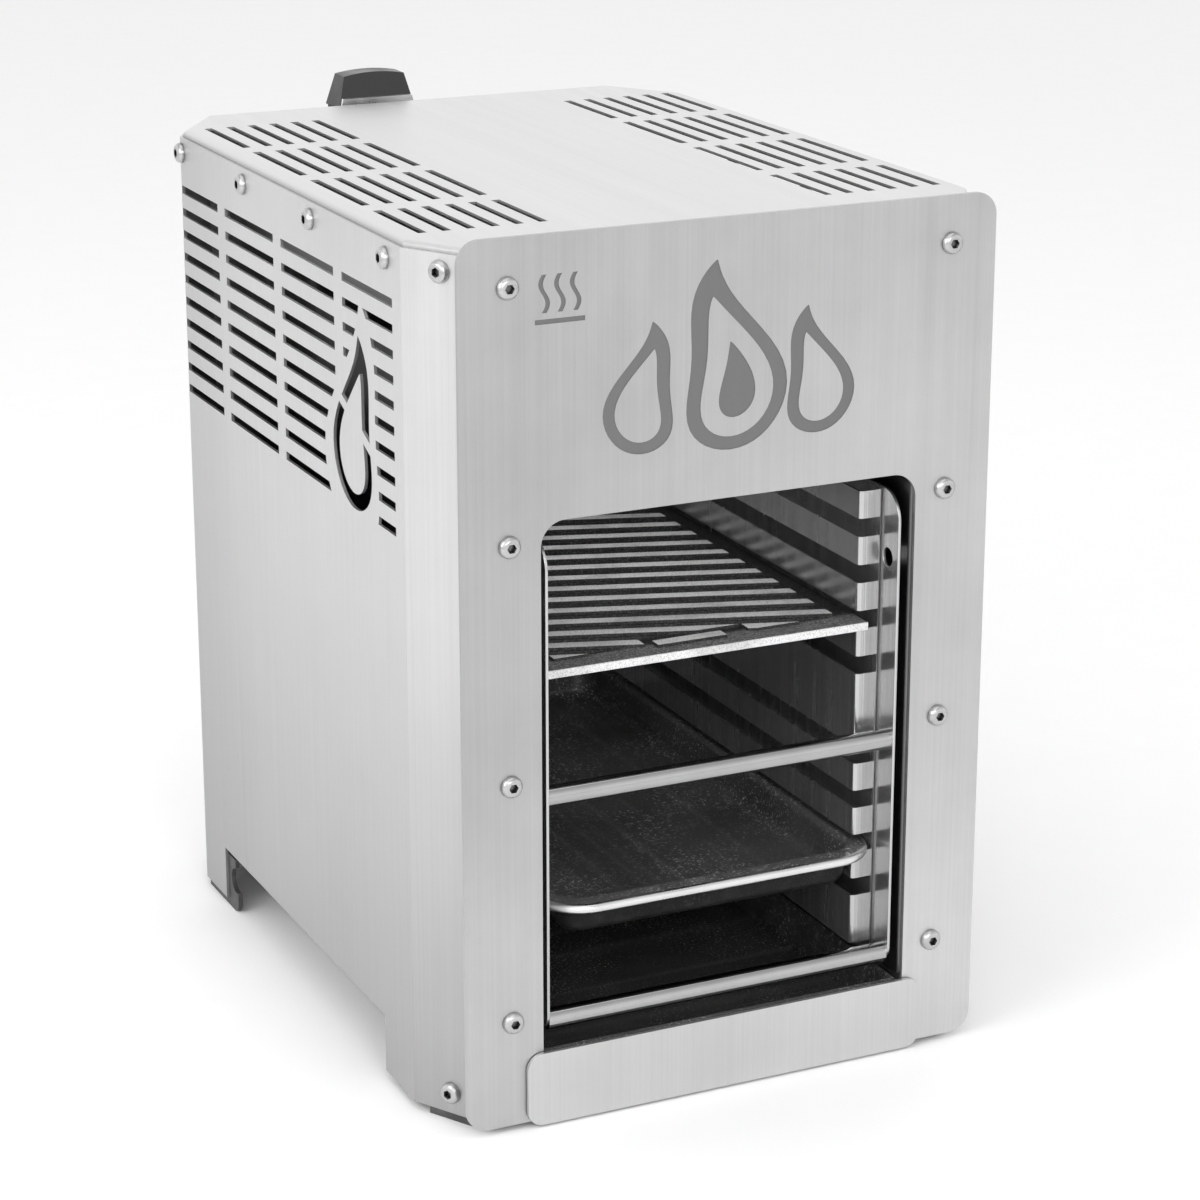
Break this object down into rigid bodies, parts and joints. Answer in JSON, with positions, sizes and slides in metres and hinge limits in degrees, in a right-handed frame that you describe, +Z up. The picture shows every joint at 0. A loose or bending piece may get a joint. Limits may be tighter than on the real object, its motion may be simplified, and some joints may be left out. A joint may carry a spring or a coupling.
{
  "type": "infrared broiler",
  "caption": "Table-top top-heat broiler: folded steel casing, open front, lift-out shelf rack with grate and pan, drip tray and rear heat control.",
  "frame": {"origin": "on the ground, at the middle of the whole object's footprint", "axes": "+Z up, -Y towards the open front, +X to the right as seen from the front"},
  "size_m": [0.2954, 0.4386, 0.43],
  "materials": {
    "brushed_sheet": "fine vertical brushing, satin",
    "bright_steel": "polished stainless",
    "rack_steel": "cold-rolled stainless, semi-bright",
    "heated_steel": "stainless darkened by heat",
    "plain_steel": "mill finish",
    "foot_black": "matt black",
    "cast_iron": "seasoned, bar tops worn bright",
    "pan_steel": "pressed stainless, used and speckled inside",
    "tray_steel": "stainless with burnt-on specks",
    "element_sheath": "oxidised nickel alloy",
    "ceramic": "matt off-white ceramic",
    "regulator_case": "matt moulded",
    "black_plastic": "heat-proof moulding, fine grain",
    "lamp_lens": "clear red lens",
    "lead_cover": "braided glass-fibre sleeve"
  },
  "bodies": {
    "root": {"front_plate": "brushed_sheet", "side_left": "brushed_sheet", "side_right": "brushed_sheet", "lid": "brushed_sheet", "rear_panel": "brushed_sheet", "base_plate": "plain_steel", "feet": "foot_black", "liner_left": "heated_steel", "liner_right": "heated_steel", "liner_back": "heated_steel", "rail_left": "rack_steel", "rail_right": "rack_steel", "heater_housing": "heated_steel", "insulation_board": "ceramic", "reflector": "plain_steel", "heating_elements": "element_sheath", "element_supports": "heated_steel", "element_bushes": "ceramic", "heat_shield": "plain_steel", "shield_spacers": "plain_steel", "front_screws": "bright_steel", "side_screws": "bright_steel", "foot_screws": "bright_steel", "rear_screws": "bright_steel", "rivet_nuts": "plain_steel", "control_box": "brushed_sheet", "heat_regulator": "regulator_case", "shaft_nut": "bright_steel", "pilot_lamp": "lamp_lens", "power_inlet": "black_plastic", "inlet_screws": "bright_steel", "terminal_block": "ceramic", "element_leads": "lead_cover", "supply_leads": "lead_cover"},
    "rack": {"rack_plate_left": "rack_steel", "rack_plate_right": "rack_steel", "rack_channel_left": "rack_steel", "rack_channel_right": "rack_steel", "rack_rods": "bright_steel"},
    "grate": {"grate": "cast_iron"},
    "pan": {"pan": "pan_steel"},
    "tray": {"drip_tray": "tray_steel", "tray_front": "brushed_sheet", "tray_rivets": "plain_steel"},
    "knob": {"knob": "black_plastic", "knob_trim": "bright_steel", "regulator_shaft": "bright_steel"}
  },
  "joints": [
    {"name": "rack_slide", "type": "slide", "parent": "root", "child": "rack", "axis": [0, -1, 0], "range_m": [0, 0.2]},
    {"name": "grate_slide", "type": "slide", "parent": "rack", "child": "grate", "axis": [0, -1, 0], "range_m": [0, 0.2]},
    {"name": "pan_slide", "type": "slide", "parent": "rack", "child": "pan", "axis": [0, -1, 0], "range_m": [0, 0.22]},
    {"name": "tray_slide", "type": "slide", "parent": "root", "child": "tray", "axis": [0, -1, 0], "range_m": [0, 0.25]},
    {"name": "knob_turn", "type": "hinge", "parent": "root", "child": "knob", "pos_m": [-0.013, 0.19385, 0.42], "axis": [0, 0, -1], "range_deg": [0, 270]}
  ]
}
